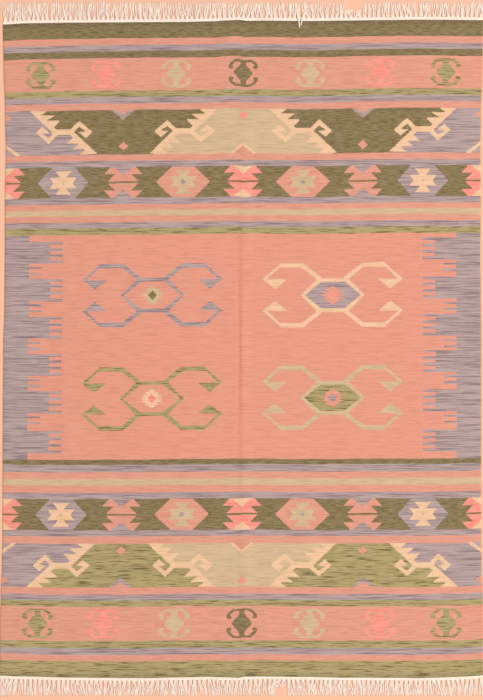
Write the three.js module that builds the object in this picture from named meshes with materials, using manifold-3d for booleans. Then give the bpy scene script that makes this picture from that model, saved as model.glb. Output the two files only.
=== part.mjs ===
// Kilim rug with a knotted fringe at both ends, lying flat on the floor. Millimetres.
// +X runs across the rug, +Y along it, +Z up. The origin is on the floor under the middle
// of the whole rug, fringes included.
import * as THREE from "three";
import { mergeVertices } from "three/addons/utils/BufferGeometryUtils.js";
import Module from "manifold-3d";

// Woven cloth: the plain rectangle that its uneven edges stand out from or fall short of
const CLOTH_HALF_WIDTH = 760;
const CLOTH_HALF_LENGTH = 1050;
const CLOTH_THICKNESS = 2.6;
const CLOTH_ROWS = 30;

// Soft ridge that folding has left down the whole length of the cloth
const CREASE_X = -3;
const CREASE_HALF_WIDTH = 24;
const CREASE_HEIGHT = 3.5;
const CREASE_COLUMNS = 8;
const SIDE_COLUMNS = 9;

// Fringe: a narrow twined web at each woven end, with knotted locks of warp ends beyond it
const WEB_GAP = 0.3;
const WEB_WIDTH = 8;
const WEB_THICKNESS = 2.2;
const FRINGE_REACH = 1113;
const LOCKS_PER_END = 103;
const LOCK_INSET = 7;
const LOCK_SHORTFALL = 7;
const LOCK_ROOT_DEPTH = 3;

// How far each selvedge stands outside the plain rectangle
const SELVEDGE_ROWS = [
  { along: -1050, left: 13, right: 13 },
  { along: -900, left: 11.5, right: 13 },
  { along: -780, left: 9.5, right: 12 },
  { along: -700, left: 7.5, right: 8 },
  { along: -600, left: 6.5, right: 7 },
  { along: -400, left: 6, right: 6.5 },
  { along: -200, left: 5, right: 6.5 },
  { along: 0, left: 4, right: 6.5 },
  { along: 150, left: 0, right: 5.5 },
  { along: 300, left: -1, right: 4 },
  { along: 480, left: -1.5, right: 5.5 },
  { along: 640, left: -4, right: 4.5 },
  { along: 780, left: -1.5, right: 7 },
  { along: 900, left: 0.5, right: 11 },
  { along: 1050, left: 3, right: 13 },
];

// How far each woven end stands outside the plain rectangle
const END_ROWS = [
  { across: -760, top: -10, bottom: -5 },
  { across: -680, top: -6, bottom: -2.5 },
  { across: -560, top: -4.5, bottom: 0.5 },
  { across: -440, top: -3.5, bottom: 2 },
  { across: -320, top: -2.5, bottom: 3 },
  { across: -200, top: -2, bottom: 0.5 },
  { across: -100, top: 0, bottom: -1.5 },
  { across: -50, top: 3, bottom: 0.5 },
  { across: -12, top: 6, bottom: 1.5 },
  { across: 12, top: 2, bottom: -2 },
  { across: 60, top: 2.5, bottom: -2.5 },
  { across: 200, top: 1, bottom: -1 },
  { across: 320, top: 2.5, bottom: 1 },
  { across: 440, top: 4, bottom: 1.5 },
  { across: 560, top: 5.5, bottom: 2.5 },
  { across: 640, top: 5, bottom: 0.5 },
  { across: 700, top: 4.5, bottom: -2 },
  { across: 760, top: 4, bottom: -6 },
];

// One lock from root to tip: share of its free length, width, underside, height, how much of
// its lean it has taken up, and how much of the crease's lift reaches it
const LOCK_STATIONS = [
  { name: "root", share: 0, width: 4.4, under: 0.5, height: 1.2, lean: 0, lift: 1 },
  { name: "knot", share: 0.13, width: 7.2, under: 0, height: 4.2, lean: 0.04, lift: 0.8 },
  { name: "neck", share: 0.26, width: 4.2, under: 0, height: 2.4, lean: 0.14, lift: 0.3 },
  { name: "middle", share: 0.62, width: 5.4, under: 0, height: 2, lean: 0.6, lift: 0 },
  { name: "tip", share: 1, width: 2.4, under: 0, height: 1.3, lean: 1, lift: 0 },
];

const ENDS = [
  { name: "fringe_top", column: "top", side: 1 },
  { name: "fringe_bottom", column: "bottom", side: -1 },
];

const clothWool = new THREE.MeshStandardMaterial({ color: 0xd99f85, roughness: 0.95, metalness: 0 });
const fringeCotton = new THREE.MeshStandardMaterial({ color: 0xf0dcc6, roughness: 0.9, metalness: 0 });

const wasm = await Module();
wasm.setup();

// Value of one column at a place, eased between the two rows that the place lies between
function readRows(rows, placeColumn, valueColumn, place) {
  const last = rows.length - 1;
  const next = rows.findIndex((row) => row[placeColumn] > place);
  if (next === 0) return rows[0][valueColumn];
  if (next === -1) return rows[last][valueColumn];
  const before = rows[next - 1];
  const after = rows[next];
  const eased = THREE.MathUtils.smoothstep(place, before[placeColumn], after[placeColumn]);
  return THREE.MathUtils.lerp(before[valueColumn], after[valueColumn], eased);
}

function wovenEndY(end, across) {
  return end.side * (CLOTH_HALF_LENGTH + readRows(END_ROWS, "across", end.column, across));
}

// Place on the floor of a point of the plain rectangle, once the uneven edges have drawn it along
function clothPlace(across, along) {
  const left = -CLOTH_HALF_WIDTH - readRows(SELVEDGE_ROWS, "along", "left", along);
  const right = CLOTH_HALF_WIDTH + readRows(SELVEDGE_ROWS, "along", "right", along);
  const shareAcross = (across + CLOTH_HALF_WIDTH) / (2 * CLOTH_HALF_WIDTH);
  const shareAlong = (along + CLOTH_HALF_LENGTH) / (2 * CLOTH_HALF_LENGTH);
  const [top, bottom] = ENDS.map((end) => wovenEndY(end, across));
  return {
    x: THREE.MathUtils.lerp(left, right, shareAcross),
    y: THREE.MathUtils.lerp(bottom, top, shareAlong),
  };
}

// Height that the crease adds: a cosine ridge that meets the flat cloth smoothly
function creaseLift(x) {
  const share = Math.min(Math.abs(x - CREASE_X) / CREASE_HALF_WIDTH, 1);
  return 0.5 * CREASE_HEIGHT * (1 + Math.cos(Math.PI * share));
}

// Columns across the cloth: even on each side, closer together over the crease
function columnPlaces() {
  const spans = [
    { from: -CLOTH_HALF_WIDTH, to: CREASE_X - CREASE_HALF_WIDTH, steps: SIDE_COLUMNS },
    { from: CREASE_X - CREASE_HALF_WIDTH, to: CREASE_X + CREASE_HALF_WIDTH, steps: CREASE_COLUMNS },
    { from: CREASE_X + CREASE_HALF_WIDTH, to: CLOTH_HALF_WIDTH, steps: SIDE_COLUMNS },
  ];
  const places = [-CLOTH_HALF_WIDTH];
  for (const span of spans) {
    for (let step = 1; step <= span.steps; step += 1) {
      places.push(THREE.MathUtils.lerp(span.from, span.to, step / span.steps));
    }
  }
  return places;
}

// Closed box of one unit with its corners merged, moved point by point by the given function,
// which gets the point's column, its row and whether it is on the upper side
function shapedBox(columns, rows, place) {
  const box = new THREE.BoxGeometry(1, 1, 1, columns, rows, 1);
  box.deleteAttribute("normal");
  box.deleteAttribute("uv");
  const merged = mergeVertices(box, 1e-5);
  const points = merged.attributes.position;
  for (let i = 0; i < points.count; i += 1) {
    const column = Math.round((points.getX(i) + 0.5) * columns);
    const row = Math.round((points.getY(i) + 0.5) * rows);
    const { x, y, z } = place(column, row, points.getZ(i) > 0);
    points.setXYZ(i, x, y, z);
  }
  return merged;
}

function clothGeometry(columns) {
  return shapedBox(columns.length - 1, CLOTH_ROWS, (column, row, upper) => {
    const along = THREE.MathUtils.lerp(-CLOTH_HALF_LENGTH, CLOTH_HALF_LENGTH, row / CLOTH_ROWS);
    const { x, y } = clothPlace(columns[column], along);
    return { x, y, z: creaseLift(x) + (upper ? CLOTH_THICKNESS : 0) };
  });
}

// Web along one woven end: it follows the edge a little way off and rises with the crease
function webGeometry(end, columns) {
  return shapedBox(columns.length - 1, 1, (column, row, upper) => {
    const { x, y } = clothPlace(columns[column], end.side * CLOTH_HALF_LENGTH);
    const outer = row === (end.side > 0 ? 1 : 0);
    const out = WEB_GAP + (outer ? WEB_WIDTH : 0);
    return { x, y: y + end.side * out, z: creaseLift(x) + (upper ? WEB_THICKNESS : 0) };
  });
}

// One lock: a flat four-sided tress, thick at its knot, that leans with its neighbours.
// Its tip falls short of the fringe's full reach by an amount that wanders along the row.
function lockGeometry(end, index) {
  const share = index / (LOCKS_PER_END - 1);
  const inner = CLOTH_HALF_WIDTH - LOCK_INSET;
  const across = THREE.MathUtils.lerp(-inner, inner, share) + 0.8 * Math.sin(index * 2.4);
  const root = clothPlace(across, end.side * CLOTH_HALF_LENGTH);
  const rootY = root.y + end.side * (WEB_GAP + WEB_WIDTH - LOCK_ROOT_DEPTH);
  const tipY = end.side * (FRINGE_REACH - LOCK_SHORTFALL * Math.sin(index * 1.7) ** 2);
  const sway = 4.5 * Math.sin(across / 85 + end.side) + 3 * Math.sin(across / 31) * Math.sin(across / 210);
  const lean = (sway + 1.4 * Math.sin(index * 2.1)) * (1 - Math.abs(2 * share - 1) ** 8);
  return shapedBox(1, LOCK_STATIONS.length - 1, (column, row, upper) => {
    const station = LOCK_STATIONS[end.side > 0 ? row : LOCK_STATIONS.length - 1 - row];
    const x = root.x + lean * station.lean + (column - 0.5) * station.width;
    const y = THREE.MathUtils.lerp(rootY, tipY, station.share);
    const under = station.under + station.lift * creaseLift(root.x);
    return { x, y, z: under + (upper ? station.height : 0) };
  });
}

function toSolid(geometry) {
  const vertProperties = new Float32Array(geometry.attributes.position.array);
  const triVerts = new Uint32Array(geometry.index.array);
  return new wasm.Manifold(new wasm.Mesh({ numProp: 3, vertProperties, triVerts }));
}

function toGeometry(solid) {
  const mesh = solid.getMesh();
  const geometry = new THREE.BufferGeometry();
  geometry.setAttribute("position", new THREE.BufferAttribute(mesh.vertProperties, 3));
  geometry.setIndex(new THREE.BufferAttribute(mesh.triVerts, 1));
  geometry.computeVertexNormals();
  return geometry;
}

function fringeGeometry(end, columns) {
  let fringe = toSolid(webGeometry(end, columns));
  for (let index = 0; index < LOCKS_PER_END; index += 1) {
    fringe = fringe.add(toSolid(lockGeometry(end, index)));
  }
  return toGeometry(fringe);
}

function namedMesh(name, geometry, material) {
  const mesh = new THREE.Mesh(geometry, material);
  mesh.name = name;
  return mesh;
}

const columns = columnPlaces();
const rug = new THREE.Group();
rug.add(namedMesh("kilim_cloth", clothGeometry(columns), clothWool));
for (const end of ENDS) {
  rug.add(namedMesh(end.name, fringeGeometry(end, columns), fringeCotton.clone()));
}

export default rug;
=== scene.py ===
import bpy
import numpy as np
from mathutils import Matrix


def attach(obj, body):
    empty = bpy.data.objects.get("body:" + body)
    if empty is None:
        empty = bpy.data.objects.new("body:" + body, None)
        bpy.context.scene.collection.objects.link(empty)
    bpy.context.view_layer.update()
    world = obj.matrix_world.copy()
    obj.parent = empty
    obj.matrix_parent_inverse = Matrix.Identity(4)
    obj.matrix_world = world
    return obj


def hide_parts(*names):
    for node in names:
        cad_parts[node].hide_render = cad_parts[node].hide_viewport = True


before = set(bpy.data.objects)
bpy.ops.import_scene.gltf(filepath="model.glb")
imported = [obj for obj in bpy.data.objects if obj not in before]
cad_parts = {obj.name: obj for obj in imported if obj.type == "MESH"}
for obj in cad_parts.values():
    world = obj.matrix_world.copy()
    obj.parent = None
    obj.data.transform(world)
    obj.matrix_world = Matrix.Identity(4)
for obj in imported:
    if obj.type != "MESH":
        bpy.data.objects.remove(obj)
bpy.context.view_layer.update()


# The cloth as it lies
# One flat-woven cloth, wool on cotton warps, laid open on the floor. Its edges are a little uneven, its
# weft lines drift, and keeping it folded down the middle has left a soft ridge along its whole length.
MM = 0.001
HALF_WIDTH = 760.0
HALF_LENGTH = 1050.0
THICKNESS = 2.6
CREASE_X = -3.0
CREASE_FALL = 36.0

# Each row: place along the cloth, then the crease's height and the width of its steep left flank
CREASE = np.array([
    (-1050, 1.6, 26), (-480, 2.0, 24), (-380, 3.0, 22), (0, 3.8, 12), (360, 3.0, 22), (480, 2.0, 26),
    (1050, 1.4, 28),
])

# Each row: place along the cloth, then how far the left and right selvedges stand outside the rectangle
SELVEDGES = np.array([
    (-1050, 13, 13), (-900, 11.5, 13), (-780, 9, 12), (-700, 6, 8), (-600, 4, 7),
    (-400, 3.5, 6.5), (-200, 2.5, 6.5), (0, 1.5, 6.5), (150, -2.5, 5.5), (300, -3.5, 4),
    (480, -4, 5.5), (640, -6.5, 4.5), (780, -4, 7), (900, 0, 11), (1050, 3, 13),
])
# Each row: place across the cloth, then how far the top and bottom woven ends stand outside it
WOVEN_ENDS = np.array([
    (-760, -12, -5), (-680, -8, -2.5), (-560, -6.5, 0.5), (-440, -5.5, 2), (-320, -4.5, 3),
    (-200, -4, 0.5), (-100, -2, -1.5), (-50, 1, 0.5), (-12, 2.5, 1.5), (12, -0.5, -2),
    (60, 0.5, -2.5), (200, -1, -1), (320, 0.5, 1), (440, 2, 1.5), (560, 3.5, 2.5),
    (640, 3, 0.5), (700, 2.5, -2), (760, 2, -6),
])
# How far the weft lines stand above their even places: a mean rise, a wave across, and a bulge at the crease
# with a narrow dip in it in the upper half. They come back to the even place at both woven ends.
WEFT_RISE = 1.3
WEFT_WAVE = 1.4
WEFT_WAVE_LENGTH = 790.0
WEFT_WAVE_CREST = -290.0
CREASE_BULGE = 1.3
CREASE_BULGE_REACH = 60.0
CREASE_DIP = 2.4
CREASE_DIP_REACH = 15.0
CREASE_DIP_START = 250.0
CREASE_DIP_LENGTH = 150.0
WEFT_FADE = 100.0
# The small uneven beat. Each row: a wave's height and length across, its turn and the turn's length along
BEAT_WAVES = ((0.5, 21.0, 3.0, 17.0), (0.4, 34.0, 4.0, 29.0))
BEAT_FADE = 20.0


def eased(table, column, place):
    """Column of a table at any place, eased from row to row by 3t^2 - 2t^3, t being the share of the way."""
    stops = table[:, 0]
    after = np.clip(np.searchsorted(stops, place, side="right"), 1, len(stops) - 1)
    t = np.clip((place - stops[after - 1]) / (stops[after] - stops[after - 1]), 0, 1)
    t = t * t * (3 - 2 * t)
    return table[after - 1, column] * (1 - t) + table[after, column] * t


def bell(across, reach):
    """A bell-shaped hump of height one at the crease: e^(-(x / reach)^2)."""
    return np.exp(-(across / reach) ** 2)


def weft_drift(across, along):
    """The mean rise plus a cosine wave across, a bell-shaped bulge and dip at the crease, and a small beat:
    two sine waves across whose turn changes along. All of it fades out towards the woven ends."""
    wave = WEFT_WAVE * np.cos(2 * np.pi * (across - WEFT_WAVE_CREST) / WEFT_WAVE_LENGTH)
    dip = CREASE_DIP * np.clip((along - CREASE_DIP_START) / CREASE_DIP_LENGTH, 0, 1)
    crease = CREASE_BULGE * bell(across, CREASE_BULGE_REACH) - dip * bell(across, CREASE_DIP_REACH)
    beat = sum(
        height * np.sin(across / length + turn * np.sin(along / turn_length))
        for height, length, turn, turn_length in BEAT_WAVES
    )
    from_end = HALF_LENGTH - np.abs(along)
    drift = (WEFT_RISE + wave + crease) * np.clip(from_end / WEFT_FADE, 0, 1)
    return drift + beat * np.clip(from_end / BEAT_FADE, 0, 1)


def cloth_place(across, along):
    """Where a point of the plain rectangle lies: in proportion between the uneven edges around it."""
    along = along + weft_drift(across, along)
    left = -HALF_WIDTH - eased(SELVEDGES, 1, along)
    right = HALF_WIDTH + eased(SELVEDGES, 2, along)
    top = HALF_LENGTH + eased(WOVEN_ENDS, 1, across)
    bottom = -HALF_LENGTH - eased(WOVEN_ENDS, 2, across)
    x = left + (right - left) * (across + HALF_WIDTH) / (2 * HALF_WIDTH)
    y = bottom + (top - bottom) * (along + HALF_LENGTH) / (2 * HALF_LENGTH)
    return x, y


def crease_lift(x, y):
    """Height of the crease: half a cosine wave up its steep left flank and one down its long right flank."""
    flank = eased(CREASE, 2, y)
    from_top = x - CREASE_X - flank / 2
    share = np.where(from_top < 0, -from_top / flank, from_top / CREASE_FALL)
    return 0.5 * eased(CREASE, 1, y) * (1 + np.cos(np.pi * np.clip(share, 0, 1)))


# The weaver's chart
# The cloth is built up row by row between two ends of plain stripes. The bands and the open field
# between them are woven with slits, so a figure's slanting sides climb in small steps of warp and weft.
SALMON, FIELD_SALMON, CORAL, DARK_OLIVE, MOSS_OLIVE, LAVENDER, SAND, CREAM = range(8)
WARP_STEP = 2.1
WEFT_STEP = 2.9
COLUMNS = round(2 * HALF_WIDTH / WARP_STEP)
PLAIN_ROWS = 2

# Each row: ground yarn, width in millimetres and what is woven there, from the top end down
BANDS = [
    (DARK_OLIVE, 52.5, "plain"), (SALMON, 21.4, "plain"), (LAVENDER, 20.5, "plain"),
    (DARK_OLIVE, 21.8, "plain"), (SALMON, 104.3, "creatures"), (MOSS_OLIVE, 20.5, "plain"),
    (LAVENDER, 20.8, "plain"), (SALMON, 20.8, "plain"), (DARK_OLIVE, 143.0, "hooks"),
    (SALMON, 20.2, "plain"), (LAVENDER, 19.5, "plain"), (DARK_OLIVE, 98.6, "diamonds"),
    (LAVENDER, 20.5, "plain"), (SALMON, 18.6, "plain"), (SAND, 18.8, "plain"),
    (SALMON, 20.2, "plain"), (LAVENDER, 18.9, "plain"), (MOSS_OLIVE, 21.4, "plain"),
    (FIELD_SALMON, 720.3, "field"),
    (DARK_OLIVE, 16.3, "plain"), (LAVENDER, 24.0, "plain"), (SALMON, 21.4, "plain"),
    (SAND, 21.4, "plain"), (SALMON, 22.7, "plain"), (LAVENDER, 20.5, "plain"),
    (DARK_OLIVE, 100.5, "diamonds"), (LAVENDER, 18.9, "plain"), (SALMON, 23.7, "plain"),
    (MOSS_OLIVE, 140.2, "hooks"), (SALMON, 22.1, "plain"), (LAVENDER, 19.8, "plain"),
    (MOSS_OLIVE, 19.5, "plain"), (SALMON, 110.0, "creatures"), (MOSS_OLIVE, 22.9, "plain"),
    (LAVENDER, 21.1, "plain"), (SALMON, 20.3, "plain"), (MOSS_OLIVE, 51.7, "plain"),
]

band_yarn = np.array([yarn for yarn, width, kind in BANDS])
band_width = np.array([width for yarn, width, kind in BANDS])
band_width = band_width * 2 * HALF_LENGTH / band_width.sum()
band_rows = np.array([
    PLAIN_ROWS if kind == "plain" else 2 * round(width / WEFT_STEP / 2)
    for (yarn, _, kind), width in zip(BANDS, band_width)
])
row_height = np.repeat(band_width / band_rows, band_rows)
line_along = HALF_LENGTH - np.concatenate([[0], np.cumsum(row_height)])
row_along = (line_along[1:] + line_along[:-1]) / 2
cell_across = (np.arange(COLUMNS) + 0.5) * 2 * HALF_WIDTH / COLUMNS - HALF_WIDTH
chart = np.repeat(band_yarn, band_rows)[:, None].repeat(COLUMNS, axis=1)


def bands_of(wanted):
    """The bands of one kind, in order: their rows of the chart, x across and y up from the band's middle."""
    first_rows = np.concatenate([[0], np.cumsum(band_rows)])
    for number, (_, _, kind) in enumerate(BANDS):
        if kind == wanted:
            rows = slice(first_rows[number], first_rows[number + 1])
            middle = (line_along[rows.start] + line_along[rows.stop]) / 2
            yield chart[rows], cell_across[None, :], row_along[rows, None] - middle


def inside(outline, x, y):
    """True inside a closed outline: a line drawn to the right crosses its sides an odd number of times."""
    hit = np.zeros(np.broadcast(x, y).shape, bool)
    for (x0, y0), (x1, y1) in zip(outline, outline[1:] + outline[:1]):
        if y0 != y1:
            crossing = x0 + (y - y0) * (x1 - x0) / (y1 - y0)
            hit ^= ((y0 > y) != (y1 > y)) & (x < crossing)
    return hit


# The two bands of small creatures
# Seven little figures with curled legs stand on the salmon ground of each band, in four yarns. Those of the
# lower band are beaten less tightly and stand taller.
CREATURE_ACROSS = (-643.5, -435.4, -213.0, 0.0, 213.0, 435.4, 643.5)
CREATURE_YARNS = (MOSS_OLIVE, CORAL, SAND, DARK_OLIVE, SAND, CORAL, MOSS_OLIVE)
CREATURE_BODY = [(0, 0), (30, 0), (29, 4), (12, 22), (9, 25), (9, 42), (0, 42)]
CREATURE_LEG = [
    (0, 42), (25, 42), (36, 35), (47, 25), (47, 16), (40, 12), (31, 14.5), (33, 20.5), (35, 25), (25, 33),
    (19, 35), (0, 35),
]
# For the upper and the lower band: how much wider and taller the creatures are than these outlines
CREATURE_STRETCH = ((1.0, 1.03), (1.04, 1.12))

for (cells, x, y), (wider, taller) in zip(bands_of("creatures"), CREATURE_STRETCH):
    for across, creature_yarn in zip(CREATURE_ACROSS, CREATURE_YARNS):
        reach = np.abs(x - across) / wider
        rise = np.abs(y) / taller
        cells[inside(CREATURE_BODY, reach, rise) | inside(CREATURE_LEG, reach, rise)] = creature_yarn


# The two hooked bands
# A cream figure with two saw-edged arms and two curled hooks stands between grounds of olive, sand and
# lavender. It is turned over at each axis, and the lower band is the upper one upside down.
HOOK_PITCH = 383.3
HOOK_FIGURES = 4
HOOK_ARM = [
    (-109, 71.4), (-50, 71.4), (-71, 55), (-28, 54), (-52, 38), (-9.5, 36.5), (-31, 16), (-19, 8.5),
    (-22, 0), (-33, -1.3),
]
HOOK_CURL = [
    (-22, -8.3), (-51.5, -36.5), (-94, 0), (-72, 19.5), (-48, -0.5), (-74, -3), (-51.5, -17.5),
    (-31, 0.7),
]
HOOK_BAR_HALF_WIDTH = 36.0
HOOK_BAR_HALF_HEIGHT = 8.5
# How far the line between two grounds is set off to each side of the figure's middle
GROUND_STEP = 24.0
# For the upper and the lower band: how far the figures stand above the middle, and which way up they are
HOOK_BANDS = ((2.0, 1), (0.0, -1))
# How wide each curl is drawn, by the ground it lies on
CURL_STRETCH = {"olive": 0.99, "lavender": 0.94, "sand": 1.075}
# Triangles on the band's edges. Each row: axis, yarn, side of the band, tip, depth and half of the base
HOOK_TRIANGLES = [
    ("olive", LAVENDER, 1, 38.5, 33, 41), ("olive", SALMON, 1, 53.5, 18, 30),
    ("middle", CREAM, -1, 38.5, 33, 40), ("middle", SALMON, -1, 47, 24.5, 29),
    ("edge", CREAM, -1, 31.5, 40, 53), ("edge", LAVENDER, -1, 44.7, 26.8, 37),
]
# Lone diamonds. Each row: axis, yarn, place up from the band's middle, half width and half height
HOOK_DIAMONDS = [
    ("olive", SALMON, -47, 16, 14.4), ("middle", CORAL, 50, 15, 12.5), ("edge", SALMON, 50, 29, 17),
]

for (cells, x, y), (raised, way_up) in zip(bands_of("hooks"), HOOK_BANDS):
    y = (y - raised) * way_up
    place = (x + HOOK_FIGURES / 2 * HOOK_PITCH) / HOOK_PITCH
    figure_number = np.clip(np.floor(place), 0, HOOK_FIGURES - 1).astype(int)
    turned = np.where(figure_number % 2 == 0, 1, -1)
    side = (place - figure_number - 0.5) * HOOK_PITCH * turned
    from_middle = np.abs(x) + 0 * y
    inner_stretch = np.where(from_middle > HOOK_PITCH, CURL_STRETCH["lavender"], CURL_STRETCH["sand"])
    curl_side = side / np.where(side > 0, CURL_STRETCH["olive"], inner_stretch)
    from_axis = {
        "middle": from_middle,
        "olive": np.abs(from_middle - HOOK_PITCH),
        "edge": 2 * HOOK_PITCH - from_middle,
    }

    beyond_figure = side > np.where(y > 0, -(y + GROUND_STEP), GROUND_STEP - y)
    cells[~beyond_figure & (from_middle > HOOK_PITCH)] = LAVENDER
    cells[~beyond_figure & (from_middle <= HOOK_PITCH)] = SAND
    figure = (np.abs(side) < HOOK_BAR_HALF_WIDTH) & (np.abs(y) < HOOK_BAR_HALF_HEIGHT)
    for outline, across in ((HOOK_ARM, side), (HOOK_CURL, curl_side)):
        figure = figure | inside(outline, across, y) | inside(outline, -across, -y)
    cells[figure] = CREAM

    for axis, yarn, band_side, tip, depth, half_base in HOOK_TRIANGLES:
        cells[y * band_side > tip + from_axis[axis] * depth / half_base] = yarn
    for axis, yarn, up, half_width, half_height in HOOK_DIAMONDS:
        cells[from_axis[axis] / half_width + np.abs(y - up) / half_height < 1] = yarn


# The two diamond bands
# Hexagons with a star inside and double arrows take turns along a dark olive ground. The outermost arrows
# are cut in half by the selvedges.
DIAMOND_PITCH = 191.65
STAR = [(0, 37), (25, 37), (9.5, 18.5), (44.5, 18.5), (30, 0), (0, 0)]
NOTCH = [(0, 23.5), (32, 50.5), (0, 50.5)]
ARROW = [(0, 23.5), (32, 50.5), (39, 50.5), (61, 27), (25.5, 26), (47.5, 5), (47.5, 3.2), (0, 3.2)]
# Each row, by steps from the middle: shape, its yarn and the yarn of its star or of the arrow's notch
DIAMOND_FIGURES = [
    ("arrow", CORAL, CREAM), ("hexagon", SALMON, SAND), ("arrow", SALMON, LAVENDER),
    ("hexagon", LAVENDER, CREAM), ("arrow", CORAL, CREAM),
]
# By a hexagon's yarn: half of its width, and how much that narrows for each millimetre up or down
HEXAGONS = {SALMON: (86.5, 1.03), LAVENDER: (81.0, 0.9)}
# By a star's yarn: the yarn, half width and half height of the small diamond in its middle
STAR_MIDDLES = {SAND: (LAVENDER, 10.0, 8.5), CREAM: (SAND, 6.0, 6.0)}

for cells, x, y in bands_of("diamonds"):
    step = np.round(x / DIAMOND_PITCH)
    reach = np.abs(x - np.clip(step * DIAMOND_PITCH, -HALF_WIDTH, HALF_WIDTH))
    rise = np.abs(y)
    for number, (shape, yarn, inner_yarn) in enumerate(DIAMOND_FIGURES):
        here = np.abs(step) == number
        if shape == "hexagon":
            half_width, slope = HEXAGONS[yarn]
            middle_yarn, middle_half, middle_rise = STAR_MIDDLES[inner_yarn]
            cells[here & (reach < half_width - slope * rise)] = yarn
            cells[here & inside(STAR, reach, rise)] = inner_yarn
            cells[here & (reach / middle_half + rise / middle_rise < 1)] = middle_yarn
        else:
            cells[here & inside(NOTCH, reach, rise)] = inner_yarn
            cells[here & inside(ARROW, reach, rise)] = yarn


# The open field
# The wide middle of the cloth, woven in a salmon yarn of its own, with lavender combs growing in from both
# selvedges and four hooked figures in four yarns, each with a hexagon and a saw-edged star in its middle.
COMB_BASE = 78.0
COMB_BLOCK = 145.0
COMB_LONG_TIP = 185.0
COMB_SHORT_TIP = 118.0
COMB_BLOCK_HEIGHT = 70.5
LONG_FINGERS = (0.0, 20.5, 41.0, 62.0)
LONG_FINGER_HEIGHT = 8.5
SHORT_FINGERS = (81.0, 101.0)
SHORT_FINGER_HEIGHT = 6.8
# Where each block of the comb begins, down from the field's top, at the left and right selvedge
COMB_BLOCKS = {-1: (19, 139, 259, 378, 499, 627), 1: (12, 137, 257, 372, 498, 626)}

FIGURE_ARM = [
    (-224.6, 50.2), (-164.5, 103), (-94.4, 103), (-33.3, 54), (-33.3, 43), (-49, 50),
    (-97.5, 88.5), (-169.5, 88.5), (-210, 50.2),
]
FIGURE_BARB = [(-224, 50.2), (-146, 50.2), (-183.4, 18.9)]
FIGURE_BAR_HALF_WIDTH = 40.0
FIGURE_BAR_RISE = 54.0
HEXAGON_REACH = 102.0
HEXAGON_FLAT = 37.0
HEXAGON_RISE = 52.0
FILLING_RISE = 43.0
STAR_REACH = 38.0
STAR_RISE = 30.5
STAR_TOOTH_SHARE = 0.48
STAR_TOOTH_PITCH = 9.0
STAR_CORE = 15.0
# Each row: place across, place up from the field's middle, stroke, figure, filling, star and star's middle
FIELD_FIGURES = [
    (-288.0, 165.5, 10.5, LAVENDER, FIELD_SALMON, SAND, DARK_OLIVE),
    (287.5, 164.0, 13.0, CREAM, LAVENDER, FIELD_SALMON, CORAL),
    (-287.5, -165.5, 10.0, MOSS_OLIVE, FIELD_SALMON, CREAM, CORAL),
    (287.5, -164.0, 12.0, SAND, MOSS_OLIVE, FIELD_SALMON, LAVENDER),
]


def saw_edged_star(reach, rise):
    """Inside a pointed oval, its reach times 1 - (y / rise)^2. A triangle wave cuts a share of that away
    between its teeth."""
    turn = (rise / STAR_TOOTH_PITCH + 0.5) % 1 - 0.5
    oval = STAR_REACH * (1 - (rise / STAR_RISE) ** 2)
    return reach < oval * (1 - STAR_TOOTH_SHARE * 2 * np.abs(turn))


for cells, x, y in bands_of("field"):
    half_height = -y.min()
    down = half_height - y
    for side, starts in COMB_BLOCKS.items():
        from_edge = HALF_WIDTH - x * side
        comb = from_edge < COMB_BASE
        for start in starts:
            below = down - start
            block = (below > 0) & (below < COMB_BLOCK_HEIGHT)
            comb = comb | (block & (from_edge < COMB_BLOCK))
            for finger in LONG_FINGERS:
                within = (below > finger) & (below < finger + LONG_FINGER_HEIGHT)
                comb = comb | (within & (from_edge < COMB_LONG_TIP))
            for finger in SHORT_FINGERS if start != starts[-1] else ():
                within = (below > finger) & (below < finger + SHORT_FINGER_HEIGHT)
                comb = comb | (within & (from_edge < COMB_SHORT_TIP))
        cells[comb] = LAVENDER
    for across, up, stroke, yarn, filling, star, star_middle in FIELD_FIGURES:
        reach = np.abs(x - across)
        rise = np.abs(y - up)
        inner_reach = HEXAGON_REACH - stroke
        narrowing = (inner_reach - HEXAGON_FLAT) / FILLING_RISE
        figure = (reach < HEXAGON_REACH - rise) & (rise < HEXAGON_RISE)
        figure = figure | (reach < FIGURE_BAR_HALF_WIDTH) & (rise > FILLING_RISE) & (rise < FIGURE_BAR_RISE)
        for outline in (FIGURE_ARM, FIGURE_BARB):
            figure = figure | inside(outline, -reach, rise)
        cells[figure] = yarn
        cells[(reach < inner_reach - narrowing * rise) & (rise < FILLING_RISE)] = filling
        cells[saw_edged_star(reach, rise)] = star
        cells[reach / STAR_CORE + rise / STAR_CORE < 1] = star_middle


# The cloth's mesh
# The chart becomes faces: each run of one yarn in a row is one face of the front, and the back shows the
# same figures, as both sides of a flatweave do. Front and back meet in a low rounded edge.
SHAPE_COLUMNS = 48
# Places across where the crease is cut, closest together on its steep flank and its top
CREASE_CUTS = CREASE_X + np.concatenate([np.arange(-15, 15, 2.5), np.arange(15, 60, 7.5)])
# Columns in from the selvedge, and how far the front lies under its full height at the selvedge and at each
EDGE_COLUMNS = np.array([1, 2, 4])
EDGE_DROP = np.array([0.9, 0.4, -0.15, 0.0])
# The back's edge rises by a share of that
BACK_EDGE_SHARE = 0.6
BACK_ROWS_JOINED = 2


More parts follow.
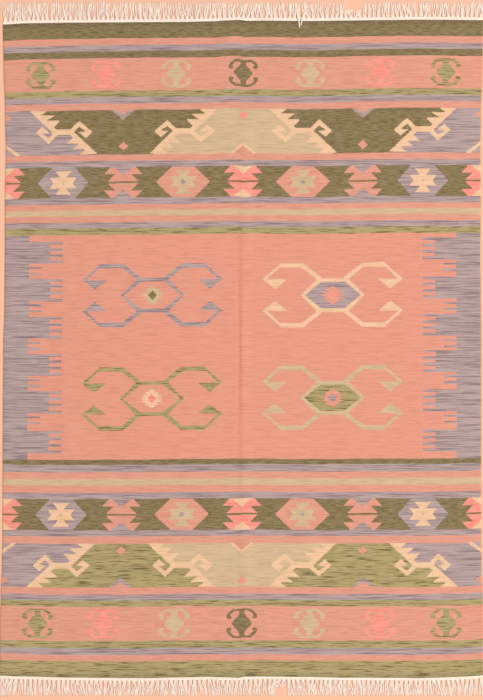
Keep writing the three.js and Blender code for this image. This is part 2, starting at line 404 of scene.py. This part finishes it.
def new_piece(name, points, loops, starts, slots, materials, smooth=True):
    """A mesh object from whole arrays: points in metres, corners of all faces in a row, where each begins."""
    mesh = bpy.data.meshes.new(name)
    mesh.vertices.add(len(points))
    mesh.vertices.foreach_set("co", np.ascontiguousarray(points, np.float32).ravel())
    mesh.loops.add(len(loops))
    mesh.loops.foreach_set("vertex_index", np.ascontiguousarray(loops, np.int32))
    mesh.polygons.add(len(starts))
    mesh.polygons.foreach_set("loop_start", np.ascontiguousarray(starts, np.int32))
    for material in materials:
        mesh.materials.append(material)
    mesh.polygons.foreach_set("material_index", np.ascontiguousarray(slots, np.int32))
    mesh.polygons.foreach_set("use_smooth", np.full(len(starts), smooth))
    mesh.update(calc_edges=True)
    piece = bpy.data.objects.new(name, mesh)
    bpy.context.scene.collection.objects.link(piece)
    return piece


def shape_columns():
    """Chart columns that are cut in every row: even steps, the crease's own and those of the edge."""
    even = np.linspace(-HALF_WIDTH, HALF_WIDTH, SHAPE_COLUMNS + 1)
    share = (np.concatenate([CREASE_CUTS, even]) + HALF_WIDTH) / (2 * HALF_WIDTH)
    inner = np.round(share * COLUMNS).astype(int)
    return np.unique(np.concatenate([inner, EDGE_COLUMNS, COLUMNS - EDGE_COLUMNS]))


def side_of_cloth(yarns, lines, cut_always, front):
    """One side as faces. A run of one yarn is a face, cut also at the shape's columns. Its corners are all
    the line points along its lower side, left to right, then those along its upper side, right to left."""
    rows = len(yarns)
    cut = np.zeros((rows, COLUMNS + 1), bool)
    cut[:, 1:-1] = yarns[:, 1:] != yarns[:, :-1]
    cut[:, cut_always] = True
    cut[:, [0, -1]] = True
    on_line = np.zeros((rows + 1, COLUMNS + 1), bool)
    on_line[:-1] |= cut
    on_line[1:] |= cut
    number = np.cumsum(on_line.ravel()).reshape(on_line.shape) - 1
    face = np.cumsum(cut[:, :-1].ravel()).reshape(rows, COLUMNS) - 1

    line, column = np.nonzero(on_line)
    across = column * 2 * HALF_WIDTH / COLUMNS - HALF_WIDTH
    corners = []
    for row, key in ((line - 1, column), (line, 2 * COLUMNS + 1 - column)):
        real_row = (row >= 0) & (row < rows)
        to_left = real_row & (column > 0)
        to_right = real_row & (column < COLUMNS)
        to_right[to_right] = cut[row[to_right], column[to_right]]
        for use, cell in ((to_left, column - 1), (to_right, column)):
            corners.append(np.stack([face[row[use], cell[use]], key[use], number[line[use], column[use]]]))
    faces, keys, points = np.concatenate(corners, axis=1)
    order = np.lexsort((keys if front else -keys, faces))
    starts = np.concatenate([[0], np.nonzero(np.diff(faces[order]))[0] + 1])
    row_of_face, cell_of_face = np.nonzero(cut[:, :-1])
    return across, lines[line], points[order], starts, yarns[row_of_face, cell_of_face], number


def cloth_mesh_arrays():
    """Front, back and the narrow wall between them, as one closed skin. Two rows of the front meet one of
    the back, so a face of the wall has five corners along a selvedge and four along a woven end."""
    columns = shape_columns()
    front = side_of_cloth(chart, line_along, columns, True)
    back = side_of_cloth(chart[::BACK_ROWS_JOINED], line_along[::BACK_ROWS_JOINED], columns, False)
    front_across, front_along, front_loops, front_starts, front_yarns, front_number = front
    back_across, back_along, back_loops, back_starts, back_yarns, back_number = back
    back_number = back_number + len(front_across)

    across = np.concatenate([front_across, back_across])
    along = np.concatenate([front_along, back_along])
    is_front = np.arange(len(across)) < len(front_across)
    x, y = cloth_place(across, along)
    from_edge = (HALF_WIDTH - np.abs(across)) * COLUMNS / (2 * HALF_WIDTH)
    drop = np.interp(from_edge, [0, *EDGE_COLUMNS], EDGE_DROP)
    back_rise = np.maximum(drop, 0) * BACK_EDGE_SHARE
    z = crease_lift(x, y) + np.where(is_front, THICKNESS - drop, back_rise)
    points = np.stack([x, y, z], axis=1) * MM

    walls = []
    for end, turn in ((0, -1), (-1, 1)):
        upper = front_number[:, end]
        lower = back_number[:, end]
        ring = np.stack([upper[:-2:2], upper[1::2], upper[2::2], lower[1:], lower[:-1]], axis=1)
        walls.append((ring[:, ::turn], chart[::2, end]))
    cut = np.unique(np.concatenate([[0], columns, [COLUMNS]]))
    for row, turn in ((0, -1), (-1, 1)):
        upper = front_number[row, cut]
        lower = back_number[row, cut]
        ring = np.stack([upper[:-1], lower[:-1], lower[1:], upper[1:]], axis=1)
        walls.append((ring[:, ::turn], np.full(len(ring), chart[row, 0])))

    loops = [front_loops, back_loops + len(front_across)]
    starts = [front_starts, back_starts + len(front_loops)]
    yarns = [front_yarns, back_yarns]
    used = len(front_loops) + len(back_loops)
    for ring, ring_yarns in walls:
        loops.append(ring.ravel())
        starts.append(used + np.arange(len(ring)) * ring.shape[1])
        yarns.append(ring_yarns)
        used += ring.size
    return points, is_front, np.concatenate(loops), np.concatenate(starts), np.concatenate(yarns)


def linear(hex_colour):
    """An sRGB hex colour as linear light: ((c + 0.055) / 1.055) ^ 2.4, or c / 12.92 when very dark."""
    c = np.array([int(hex_colour[i:i + 2], 16) for i in (1, 3, 5)]) / 255
    c = np.where(c > 0.04045, ((c + 0.055) / 1.055) ** 2.4, c / 12.92)
    return (*c.tolist(), 1.0)


def add(tree, kind, settings=None, **links):
    """Adds a node. Settings are its properties; links name its inputs and give a socket or a value."""
    node = tree.nodes.new(kind)
    for key, value in (settings or {}).items():
        setattr(node, key, value)
    for key, value in links.items():
        socket = node.inputs[int(key[1:]) if key[1:].isdigit() else key.replace("_", " ")]
        if isinstance(value, bpy.types.NodeSocket):
            tree.links.new(value, socket)
        else:
            socket.default_value = value
    return node


# Wool yarn, hand spun and dyed in small lots, beaten down so that it hides the warps. The dye took unevenly,
# which gives the eye dark streaks along the weft, 28 to 110 mm long and under 4 mm wide, strongest in the
# olives and the lavender.
STREAK_EDGE = 0.07
STREAK_WANDER = (0.0, 0.004, 0.0)
WANDER_SCALE = 22.0
LOT_SCALE = (2.0, 80.0, 1.0)
LOT_STRENGTH = 1.0
FIBRE_SCALE = (160.0, 700.0, 160.0)
FIBRE_STRENGTH = 0.5
# Metres from warp to warp and from weft to weft, about twice as coarse as they are, so that the ribs show
WARP_PITCH = 0.0042
WEFT_PITCH = 0.0024
FLOAT_HEIGHT = 0.35
FIBRE_HEIGHT = 0.6
RIB_TOP = 1.6
# How far the colour is darkened in the hollows between floats and lightened on their tops: painted shade and
# painted light
RIB_PAINTED_SHADE = (0.9, 1.06)
RIB_DEPTH = 0.0006


def flatwoven_wool(name, dark, light, streaks, streak_length, streak_width, seed):
    """Yarn is dark where the streak noise lies under the level given as streaks; the bump is the rib of each
    weft float, one over and one under from row to row. The rib's height also paints shade into the colour:
    darker in the hollows between floats, a little lighter on their tops."""
    streak_scale = (1 / (streak_length * MM), 1 / (streak_width * MM), 1.0)
    material = bpy.data.materials.new(name)
    material.use_nodes = True
    tree = material.node_tree
    tree.nodes.clear()
    place = add(tree, "ShaderNodeTexCoord").outputs["Object"]
    wander = add(tree, "ShaderNodeTexNoise", Vector=place, Scale=WANDER_SCALE, Detail=1.0)
    bent = add(tree, "ShaderNodeVectorMath", {"operation": "MULTIPLY_ADD"}, i0=wander.outputs["Color"],
               i1=STREAK_WANDER, i2=place).outputs["Vector"]
    streak_place = add(tree, "ShaderNodeMapping", Vector=bent, Location=(seed, 0.37 * seed, 0.0),
                       Scale=streak_scale).outputs["Vector"]
    lot_place = add(tree, "ShaderNodeMapping", Vector=place, Location=(0.0, seed, 0.0),
                    Scale=LOT_SCALE).outputs["Vector"]
    fibre_place = add(tree, "ShaderNodeMapping", Vector=place, Scale=FIBRE_SCALE).outputs["Vector"]
    streak = add(tree, "ShaderNodeTexNoise", Vector=streak_place, Scale=1.0, Detail=2.0, Roughness=0.55)
    lot = add(tree, "ShaderNodeTexNoise", Vector=lot_place, Scale=1.0, Detail=1.0)
    fibre = add(tree, "ShaderNodeTexNoise", Vector=fibre_place, Scale=1.0, Detail=1.0)

    mixed = add(tree, "ShaderNodeMapRange", Value=streak.outputs["Fac"], i1=streaks - STREAK_EDGE,
                i2=streaks + STREAK_EDGE)
    mixed = add(tree, "ShaderNodeMath", {"operation": "MULTIPLY_ADD"}, i0=lot.outputs["Fac"], i1=LOT_STRENGTH,
                i2=mixed.outputs[0])
    mixed = add(tree, "ShaderNodeMath", {"operation": "MULTIPLY_ADD"}, i0=fibre.outputs["Fac"],
                i1=FIBRE_STRENGTH, i2=mixed.outputs[0])
    mixed = add(tree, "ShaderNodeMath", {"operation": "SUBTRACT", "use_clamp": True}, i0=mixed.outputs[0],
                i1=(LOT_STRENGTH + FIBRE_STRENGTH) / 2)

    axes = add(tree, "ShaderNodeSeparateXYZ", Vector=place)
    weft = add(tree, "ShaderNodeMath", {"operation": "DIVIDE"}, i0=axes.outputs["Y"], i1=WEFT_PITCH)
    weft_count = add(tree, "ShaderNodeMath", {"operation": "FLOOR"}, i0=weft.outputs[0])
    weft_turn = add(tree, "ShaderNodeMath", {"operation": "MULTIPLY"}, i0=weft_count.outputs[0], i1=np.pi)
    warp_turn = add(tree, "ShaderNodeMath", {"operation": "MULTIPLY_ADD"}, i0=axes.outputs["X"],
                    i1=2 * np.pi / WARP_PITCH, i2=weft_turn.outputs[0])
    float_height = add(tree, "ShaderNodeMath", {"operation": "COSINE"}, i0=warp_turn.outputs[0])
    weft_angle = add(tree, "ShaderNodeMath", {"operation": "MULTIPLY"}, i0=weft.outputs[0], i1=np.pi)
    weft_round = add(tree, "ShaderNodeMath", {"operation": "SINE"}, i0=weft_angle.outputs[0])
    weft_round = add(tree, "ShaderNodeMath", {"operation": "ABSOLUTE"}, i0=weft_round.outputs[0])
    height = add(tree, "ShaderNodeMath", {"operation": "MULTIPLY_ADD"}, i0=float_height.outputs[0],
                 i1=FLOAT_HEIGHT, i2=weft_round.outputs[0])
    height = add(tree, "ShaderNodeMath", {"operation": "MULTIPLY_ADD"}, i0=fibre.outputs["Fac"],
                 i1=FIBRE_HEIGHT, i2=height.outputs[0])

    colour = add(tree, "ShaderNodeMix", {"data_type": "RGBA"}, i0=mixed.outputs[0], i6=linear(dark),
                 i7=linear(light))
    # Painted shade: the rib's height darkens the colour in its hollows and lightens it on the float tops
    painted_shade = add(tree, "ShaderNodeMapRange", Value=height.outputs[0], i1=0.0, i2=RIB_TOP, i3=RIB_PAINTED_SHADE[0],
                i4=RIB_PAINTED_SHADE[1])
    colour_with_painted_shade = add(tree, "ShaderNodeMix", {"data_type": "RGBA", "blend_type": "MULTIPLY"}, i0=1.0,
                 i6=colour.outputs[2], i7=painted_shade.outputs[0])
    bump = add(tree, "ShaderNodeBump", Strength=0.45, Distance=RIB_DEPTH, Height=height.outputs[0])
    wool = add(tree, "ShaderNodeBsdfPrincipled", Base_Color=colour_with_painted_shade.outputs[2], Roughness=0.92,
               Normal=bump.outputs["Normal"])
    wool.inputs["Specular IOR Level"].default_value = 0.2
    wool.inputs["Sheen Weight"].default_value = 0.12
    wool.inputs["Sheen Roughness"].default_value = 0.5
    add(tree, "ShaderNodeOutputMaterial", Surface=wool.outputs["BSDF"])
    return material


# Each row: name, dark streak, light ground, streak level, length and width of the streaks in millimetres,
# and a number that sets its own streaks
YARN_LOOKS = [
    ("salmon_flatwoven_wool", "#d9927a", "#e59e86", 0.48, 60.0, 3.8, 1.7),
    ("field_salmon_flatwoven_wool", "#dd9178", "#e79b83", 0.46, 60.0, 3.8, 2.3),
    ("coral_flatwoven_wool", "#ee8775", "#f99b8b", 0.46, 60.0, 3.8, 3.1),
    ("dark_olive_flatwoven_wool", "#786641", "#937f5b", 0.49, 28.0, 3.2, 5.3),
    ("moss_olive_flatwoven_wool", "#786641", "#b4a170", 0.43, 60.0, 3.8, 7.9),
    ("lavender_grey_flatwoven_wool", "#8d7778", "#baa19c", 0.455, 110.0, 3.6, 9.7),
    ("sand_flatwoven_wool", "#c8a984", "#d7b892", 0.46, 60.0, 3.8, 11.3),
    ("cream_flatwoven_wool", "#e6b78f", "#f1c59e", 0.46, 60.0, 3.8, 13.9),
]
yarn_materials = [flatwoven_wool(*look) for look in YARN_LOOKS]

points, is_front, loops, starts, yarns = cloth_mesh_arrays()
cloth = new_piece("kilim_flatweave", points, loops, starts, yarns, yarn_materials)

# Both sides side by side on one sheet, so that a picture of the cloth's colours is a plain plan of it. The
# sheet spans a little more than the cloth, in metres, and its shares go to the front and to the back.
MAP_WIDTH = 1.56
MAP_LENGTH = 2.12
FRONT_SHARE = 0.64
BACK_START = 0.66
BACK_SHARE = 0.33

bake_map = cloth.data.uv_layers.new(name="OFBake")
u = points[loops, 0] / MAP_WIDTH + 0.5
v = points[loops, 1] / MAP_LENGTH + 0.5
u = np.where(is_front[loops], u * FRONT_SHARE, BACK_START + u * BACK_SHARE)
bake_map.data.foreach_set("uv", np.stack([u, v], axis=1).astype(np.float32).ravel())

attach(cloth, "root")
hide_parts("kilim_cloth")


# The two fringes
# Cream cotton, the warp ends left beyond the weaving. A narrow twined web holds the last weft, and each
# group of ends is tied in an overhand knot against it and lies loose on the floor.
FRINGE_REACH = 1113.0
FRINGE_HALF_WIDTH = 771.6
FLOOR_CLEARANCE = 0.05

# The web: how far it tucks in under the last weft, and the slant and swell of its twining
WEB_WIDTH = 9.6
WEB_HEIGHT = 2.4
WEB_TUCK = 0.2
WEB_SIDES = 14
WEB_STATIONS = 1216
WEB_TWIST_PITCH = 6.4
WEB_TWIST_SLANT = 1.9
WEB_TWIST_SWELL = 0.28

# The knots: how far in from a corner the first is, how far each stands out from the woven end, how unevenly
# they are tied and how much of the crease lifts them. The size is half of the width, length and height.
KNOTS = 103
KNOT_INSET = 7.0
KNOT_OUT = 12.6
KNOT_OUT_UNEVEN = 0.5
KNOT_ACROSS_UNEVEN = 0.7
KNOT_LIFT_SHARE = 0.7
KNOT_SIZE = (5.2, 4.2, 1.9)
KNOT_FLATNESS = 0.98
KNOT_SWELL = 0.14
KNOT_RINGS = 9
KNOT_SIDES = 12
# The knot's two ends are cut this little angle short of their poles and closed by a small face
KNOT_POLE = 0.02

# The loose ends: their number and size, then how each bunch leans, bends and opens, and how its ends stray
STRANDS_PER_KNOT = 7
STRAND_RADIUS = 1.25
STRAND_FLATNESS = 0.5
STRAND_STATIONS = 14
STRAND_SIDES = 5
STRAND_REST = 1.05
STRAND_TAPER = 0.45
STRAND_UNEVEN = (0.75, 1.1)
# Each row: a wave's height and length along the fringe
LEAN_WAVES = ((3.5, 61.0), (3.0, 23.0))
LEAN_UNEVEN = 2.2
LEAN_CURVE = 1.2
CORNER_LEAN = {1: (-9.0, 0.0), -1: (0.0, 0.0)}
BEND = 1.0
BUNCH_ROOT = 1.7
BUNCH_SPREAD = (3.0, 6.2)
BUNCH_OPENING = (0.06, 0.35)
STRAY_BOW = 1.3
STRAY_WAVE = 0.9
STRAY_TIP = 2.2
END_SHORTFALL = 3.0
BUNCH_SHORTFALL = 1.5
# How high the ends lie over each other: at the knot, and by layer there and halfway along
ROOT_LIFT = 1.0
LAYER_ROOT_LIFT = 0.2
LAYER_LIFT = 0.14
# Where the ends are short and curled. Each row: side, across from and to, and their share of the length
SHORT_ENDS = [(1, 328.0, 382.0, 0.5), (-1, 110.0, 143.0, 0.45)]
SHORT_END_CURL = 3.0

# Two ends of the top fringe have fallen back over its web. Each row: across, along and height
FALLEN_BACK_RADIUS = 2.2
FALLEN_BACK = np.array([
    [(183, 1062, 3.5), (177, 1080, 3.0), (179, 1069, 5.4), (183, 1052, 5.0), (186, 1028, 4.1)],
    [(200, 1062, 3.5), (203, 1080, 3.0), (197, 1067, 5.4), (193, 1050, 5.0), (189.5, 1035, 4.1)],
])


def grid_faces(tubes, rings, sides):
    """Corners of the quads of many like tubes, ring by ring, the last side joined to the first."""
    tube, ring, side = np.meshgrid(np.arange(tubes), np.arange(rings - 1), np.arange(sides), indexing="ij")
    after = (side + 1) % sides
    base = (tube * rings + ring) * sides
    quads = np.stack([base + side, base + sides + side, base + sides + after, base + after], axis=-1)
    return quads.reshape(-1, 4)


def cap_faces(tubes, rings, sides):
    """The two ends of many like tubes, as one many-sided face each."""
    first = np.arange(tubes)[:, None] * rings * sides
    side = np.arange(sides)[None, :]
    return np.concatenate([first + side, first + (rings - 1) * sides + side[:, ::-1]])


def fringe_web(side):
    """A flattened tube along the woven end, its height swelled by 1 + s cos(2 pi x / pitch + slant) as in
    twining. The slant goes as the size of cos(angle), so the waves meet in a point halfway across."""
    share = np.linspace(-1, 1, WEB_STATIONS)[:, None]
    angle = -side * np.linspace(0, 2 * np.pi, WEB_SIDES + 1)[None, :-1]
    across = share * HALF_WIDTH
    x, y = cloth_place(across, side * HALF_LENGTH + 0 * across)
    out = 0.5 * WEB_WIDTH * (1 + np.cos(angle)) - WEB_TUCK
    slant = np.abs(np.cos(angle)) * WEB_TWIST_SLANT
    swell = 1 + WEB_TWIST_SWELL * np.cos(2 * np.pi * across / WEB_TWIST_PITCH + slant)
    rise = 0.5 * WEB_HEIGHT * (1 + np.sin(angle) * swell)
    x = x + 0 * angle
    z = np.maximum(rise, FLOOR_CLEARANCE) + crease_lift(x, y)
    points = np.stack([x, y + side * out, z], axis=-1)
    faces = grid_faces(1, WEB_STATIONS, WEB_SIDES)
    return points.reshape(-1, 3), faces, cap_faces(1, WEB_STATIONS, WEB_SIDES)


def fringe_knots(x, y, z, turn):
    """Rounded lumps with a slanting wrap: ellipsoids swelled by 1 + s cos(2 around + 3 along + turn)."""
    along = np.linspace(KNOT_POLE, np.pi - KNOT_POLE, KNOT_RINGS)[None, :, None]
    around = np.linspace(0, 2 * np.pi, KNOT_SIDES + 1)[None, None, :-1]
    half_width, half_length, half_height = KNOT_SIZE
    swell = 1 + KNOT_SWELL * np.cos(2 * around + 3 * along + turn[:, None, None])
    px = x[:, None, None] + half_width * swell * np.sin(along) * np.cos(around)
    pz = z[:, None, None] + half_height * (1 + KNOT_FLATNESS * swell * np.sin(along) * np.sin(around))
    py = y[:, None, None] - half_length * np.cos(along) + 0 * px
    points = np.stack([px, py, np.maximum(pz, FLOOR_CLEARANCE)], axis=-1)
    faces = grid_faces(len(x), KNOT_RINGS, KNOT_SIDES)
    return points.reshape(-1, 3), faces, cap_faces(len(x), KNOT_RINGS, KNOT_SIDES)


def strand_tubes(path, radius):
    """Flattened tubes round many paths at once: each ring stands square to the way between its points."""
    way = np.gradient(path, axis=1)
    way /= np.linalg.norm(way, axis=2, keepdims=True)
    side = np.cross(way, [0.0, 0.0, 1.0])
    side /= np.linalg.norm(side, axis=2, keepdims=True)
    up = np.cross(side, way)
    angle = np.linspace(0, 2 * np.pi, STRAND_SIDES + 1)[:-1]
    ring = (np.cos(angle)[:, None] * side[:, :, None, :]
            + STRAND_FLATNESS * np.sin(angle)[:, None] * up[:, :, None, :])
    points = path[:, :, None, :] + radius[:, :, None, None] * ring
    strands, stations = radius.shape
    faces = grid_faces(strands, stations, STRAND_SIDES)
    return points.reshape(-1, 3), faces, cap_faces(strands, stations, STRAND_SIDES)


def fringe_strands(side, knot_x, knot_y, rng):
    """Paths of all the loose ends, t from knot to tip. Each bunch leans, bends once like an S and opens out
    as 1 - e^(-t / o), and its ends stray a little: x = knot + lean t^c + bend + rank spread + stray."""
    knots = len(knot_x)
    shape = (knots, STRANDS_PER_KNOT, 1)
    bunch = (knots, 1, 1)
    t = np.linspace(0, 1, STRAND_STATIONS)[None, None, :]
    rank = np.linspace(-1, 1, STRANDS_PER_KNOT)[None, :, None]
    (long_lean, long_wave), (short_lean, short_wave) = LEAN_WAVES
    lean = long_lean * np.sin(knot_x / long_wave + 2 * side) + short_lean * np.sin(knot_x / short_wave + side)
    lean = lean + rng.normal(0, LEAN_UNEVEN, knots)
    lean[[0, -1]] += CORNER_LEAN[side]
    turn = rng.uniform(0, 2 * np.pi, bunch)
    bend = rng.normal(0, BEND, bunch) * (np.sin(2 * np.pi * t + turn) - np.sin(turn))
    spread = rng.uniform(*BUNCH_SPREAD, bunch) * (1 - np.exp(-t / rng.uniform(*BUNCH_OPENING, bunch)))
    stray = rng.normal(0, STRAY_BOW, shape) * np.sin(np.pi * t)
    stray = stray + rng.normal(0, STRAY_WAVE, shape) * np.sin(2 * np.pi * t)
    stray = stray + rng.normal(0, STRAY_TIP, shape) * t ** 2
    shortfall = np.abs(rng.normal(0, END_SHORTFALL, shape)) + np.abs(rng.normal(0, BUNCH_SHORTFALL, bunch))
    length = FRINGE_REACH - np.abs(knot_y)[:, None, None] - shortfall
    for short_side, first, last, share in SHORT_ENDS:
        short = ((knot_x > first) & (knot_x < last) & (side == short_side))[:, None, None]
        length = np.where(short, length * share, length)
        bend = np.where(short, SHORT_END_CURL * bend, bend)
    x = knot_x[:, None, None] + lean[:, None, None] * t ** LEAN_CURVE
    x = np.clip(x + bend + rank * (BUNCH_ROOT + spread) + stray, -FRINGE_HALF_WIDTH, FRINGE_HALF_WIDTH)
    y = knot_y[:, None, None] + side * length * t
    layer = rng.permuted(np.tile(np.arange(STRANDS_PER_KNOT), (knots, 1)), axis=1)[:, :, None]
    rest = STRAND_RADIUS * STRAND_FLATNESS * STRAND_REST
    over_root = (ROOT_LIFT + LAYER_ROOT_LIFT * layer) * (1 - t) ** 2
    z = rest + over_root + LAYER_LIFT * layer * np.sin(np.pi * t) ** 2 * (1 - t / 2)
    path = np.stack([x, y, z], axis=-1).reshape(-1, STRAND_STATIONS, 3)
    radius = STRAND_RADIUS * (1 - STRAND_TAPER * t ** 6) * rng.uniform(*STRAND_UNEVEN, shape)
    return path, radius.reshape(-1, STRAND_STATIONS)


def fallen_back_strands():
    """The fallen ends' few points, evened out to as many stations as the other strands have."""
    stop = np.linspace(0, FALLEN_BACK.shape[1] - 1, STRAND_STATIONS)
    before = np.minimum(stop.astype(int), FALLEN_BACK.shape[1] - 2)
    t = (stop - before)[None, :, None]
    path = FALLEN_BACK[:, before] * (1 - t) + FALLEN_BACK[:, before + 1] * t
    path[:, 1:-1] = (path[:, :-2] + 2 * path[:, 1:-1] + path[:, 2:]) / 4
    return path, np.full(path.shape[:2], FALLEN_BACK_RADIUS)


def fringe(name, side, seed):
    """One fringe as one mesh: web, knots and strands."""
    rng = np.random.default_rng(seed)
    inner = HALF_WIDTH - KNOT_INSET
    across = np.linspace(-inner, inner, KNOTS) + rng.normal(0, KNOT_ACROSS_UNEVEN, KNOTS)
    knot_x, end_y = cloth_place(across, np.full(KNOTS, side * HALF_LENGTH))
    knot_y = end_y + side * (KNOT_OUT + rng.normal(0, KNOT_OUT_UNEVEN, KNOTS))
    knot_z = crease_lift(knot_x, knot_y) * KNOT_LIFT_SHARE
    path, radius = fringe_strands(side, knot_x, knot_y, rng)
    if side > 0:
        fallen_path, fallen_radius = fallen_back_strands()
        path = np.concatenate([path, fallen_path])
        radius = np.concatenate([radius, fallen_radius])
    parts = [
        fringe_web(side),
        fringe_knots(knot_x, knot_y, knot_z, rng.uniform(0, 2 * np.pi, KNOTS)),
        strand_tubes(path, radius),
    ]
    points = []
    loops = []
    sizes = []
    used = 0
    for part_points, quads, caps in parts:
        for faces in (quads, caps):
            loops.append(faces.ravel() + used)
            sizes.append(np.full(len(faces), faces.shape[1]))
        points.append(part_points)
        used += len(part_points)
    loops = np.concatenate(loops)
    starts = np.concatenate([[0], np.cumsum(np.concatenate(sizes))[:-1]])
    return new_piece(name, np.concatenate(points) * MM, loops, starts, np.zeros(len(starts)), [cotton])


# Cream cotton, a soft yarn twisted from several ends, with next to no sheen. The twist's hollows are painted
# as darker lines 1.5 mm apart, a painted shade, and one end is a little whiter than the next.
TWIST_TILT = 0.6
TWIST_SCALE = 420.0
FLUFF_SCALE = 900.0
TWIST_DEPTH = 0.0005
COTTON_TONE_SCALE = (260.0, 25.0, 1.0)
# How far the colour is darkened in the twist's hollows and lightened on its tops: painted shade and painted
# light
COTTON_PAINTED_SHADE = (0.97, 1.06)


def twisted_cotton():
    """Two tones of cream with painted shade, darker where the twist turns under and where the fluff runs low:
    a tilted wave plus the noise of the fluff.
    """
    material = bpy.data.materials.new("cream_twisted_cotton")
    material.use_nodes = True
    tree = material.node_tree
    tree.nodes.clear()
    place = add(tree, "ShaderNodeTexCoord").outputs["Object"]
    twist_place = add(tree, "ShaderNodeMapping", Vector=place, Rotation=(0.0, 0.0, TWIST_TILT),
                      Scale=(TWIST_SCALE,) * 3).outputs["Vector"]
    twist = add(tree, "ShaderNodeTexWave", Vector=twist_place, Scale=0.5, Distortion=1.5, Detail=1.0)
    fluff = add(tree, "ShaderNodeTexNoise", Vector=place, Scale=FLUFF_SCALE, Detail=2.0)
    end_place = add(tree, "ShaderNodeMapping", Vector=place, Scale=COTTON_TONE_SCALE).outputs["Vector"]
    tone = add(tree, "ShaderNodeTexNoise", Vector=end_place, Scale=1.0, Detail=1.0)
    tone = add(tree, "ShaderNodeMapRange", Value=tone.outputs["Fac"], i1=0.3, i2=0.7)
    colour = add(tree, "ShaderNodeMix", {"data_type": "RGBA"}, i0=tone.outputs[0], i6=linear("#fbdfca"),
                 i7=linear("#fff0e2"))
    height = add(tree, "ShaderNodeMath", {"operation": "MULTIPLY_ADD"}, i0=fluff.outputs["Fac"], i1=0.5,
                 i2=twist.outputs["Fac"])
    # Painted shade: the colour darkens where the twist and the fluff run low
    painted_shade = add(tree, "ShaderNodeMapRange", Value=height.outputs[0], i1=0.1, i2=1.3, i3=COTTON_PAINTED_SHADE[0],
                i4=COTTON_PAINTED_SHADE[1])
    colour_with_painted_shade = add(tree, "ShaderNodeMix", {"data_type": "RGBA", "blend_type": "MULTIPLY"}, i0=1.0,
                 i6=colour.outputs[2], i7=painted_shade.outputs[0])
    bump = add(tree, "ShaderNodeBump", Strength=0.4, Distance=TWIST_DEPTH, Height=height.outputs[0])
    thread = add(tree, "ShaderNodeBsdfPrincipled", Base_Color=colour_with_painted_shade.outputs[2], Roughness=0.88,
                 Normal=bump.outputs["Normal"])
    thread.inputs["Specular IOR Level"].default_value = 0.25
    thread.inputs["Sheen Weight"].default_value = 0.1
    add(tree, "ShaderNodeOutputMaterial", Surface=thread.outputs["BSDF"])
    return material


cotton = twisted_cotton()
for name, side, node, seed in (("top_knotted_fringe", 1, "fringe_top", 11),
                               ("bottom_knotted_fringe", -1, "fringe_bottom", 23)):
    piece = fringe(name, side, seed)
    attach(piece, "root")
    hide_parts(node)


# Floor, light and camera
# A plain pale floor, a soft light from the right that shows the crease, a weaker one from the left and the
# camera straight above the rug.
FLOOR_DROP = 0.0003
FLOOR_HALF = 6.0
PIXEL = 0.0032
PICTURE_HEIGHT = 700
PICTURE_CENTRE_Y = -0.0032
CAMERA_HEIGHT = 6.0
ROOM_LIGHT = 0.55
LIGHT_SIZE = 5.0
LIGHT_HEIGHT = 8.2
# Each row: name, place across and power in watts
SOFT_LIGHTS = (("left_soft_light", -8.8, 230.0), ("right_soft_light", 8.8, 970.0))

floor_points = np.array([(-1, -1), (1, -1), (1, 1), (-1, 1)]) * FLOOR_HALF
floor_points = np.column_stack([floor_points, np.full(4, -FLOOR_DROP)])
floor_material = bpy.data.materials.new("pale_floor")
floor_material.use_nodes = True
floor_shader = floor_material.node_tree.nodes["Principled BSDF"]
floor_shader.inputs["Base Color"].default_value = linear("#f6bd9d")
floor_shader.inputs["Roughness"].default_value = 0.9
floor_shader.inputs["Specular IOR Level"].default_value = 0.1
floor = new_piece("pale_floor", floor_points, np.arange(4), [0], [0], [floor_material], smooth=False)

world = bpy.data.worlds.new("soft_room")
world.use_nodes = True
world.node_tree.nodes["Background"].inputs["Color"].default_value = (1.0, 1.0, 1.0, 1.0)
world.node_tree.nodes["Background"].inputs["Strength"].default_value = ROOM_LIGHT
bpy.context.scene.world = world

for name, x, energy in SOFT_LIGHTS:
    light_data = bpy.data.lights.new(name, "AREA")
    light_data.shape = "SQUARE"
    light_data.size = LIGHT_SIZE
    light_data.energy = energy
    light = bpy.data.objects.new(name, light_data)
    light.location = (x, 0.0, LIGHT_HEIGHT)
    light.rotation_euler = (0.0, np.arctan2(x, LIGHT_HEIGHT), 0.0)
    bpy.context.scene.collection.objects.link(light)

camera_data = bpy.data.cameras.new("overhead_camera")
camera_data.sensor_fit = "AUTO"
camera_data.lens = camera_data.sensor_width * CAMERA_HEIGHT / (PICTURE_HEIGHT * PIXEL)
camera = bpy.data.objects.new("overhead_camera", camera_data)
camera.location = (0.0, PICTURE_CENTRE_Y, CAMERA_HEIGHT)
bpy.context.scene.collection.objects.link(camera)
bpy.context.scene.camera = camera
bpy.context.scene.view_settings.view_transform = "Standard"
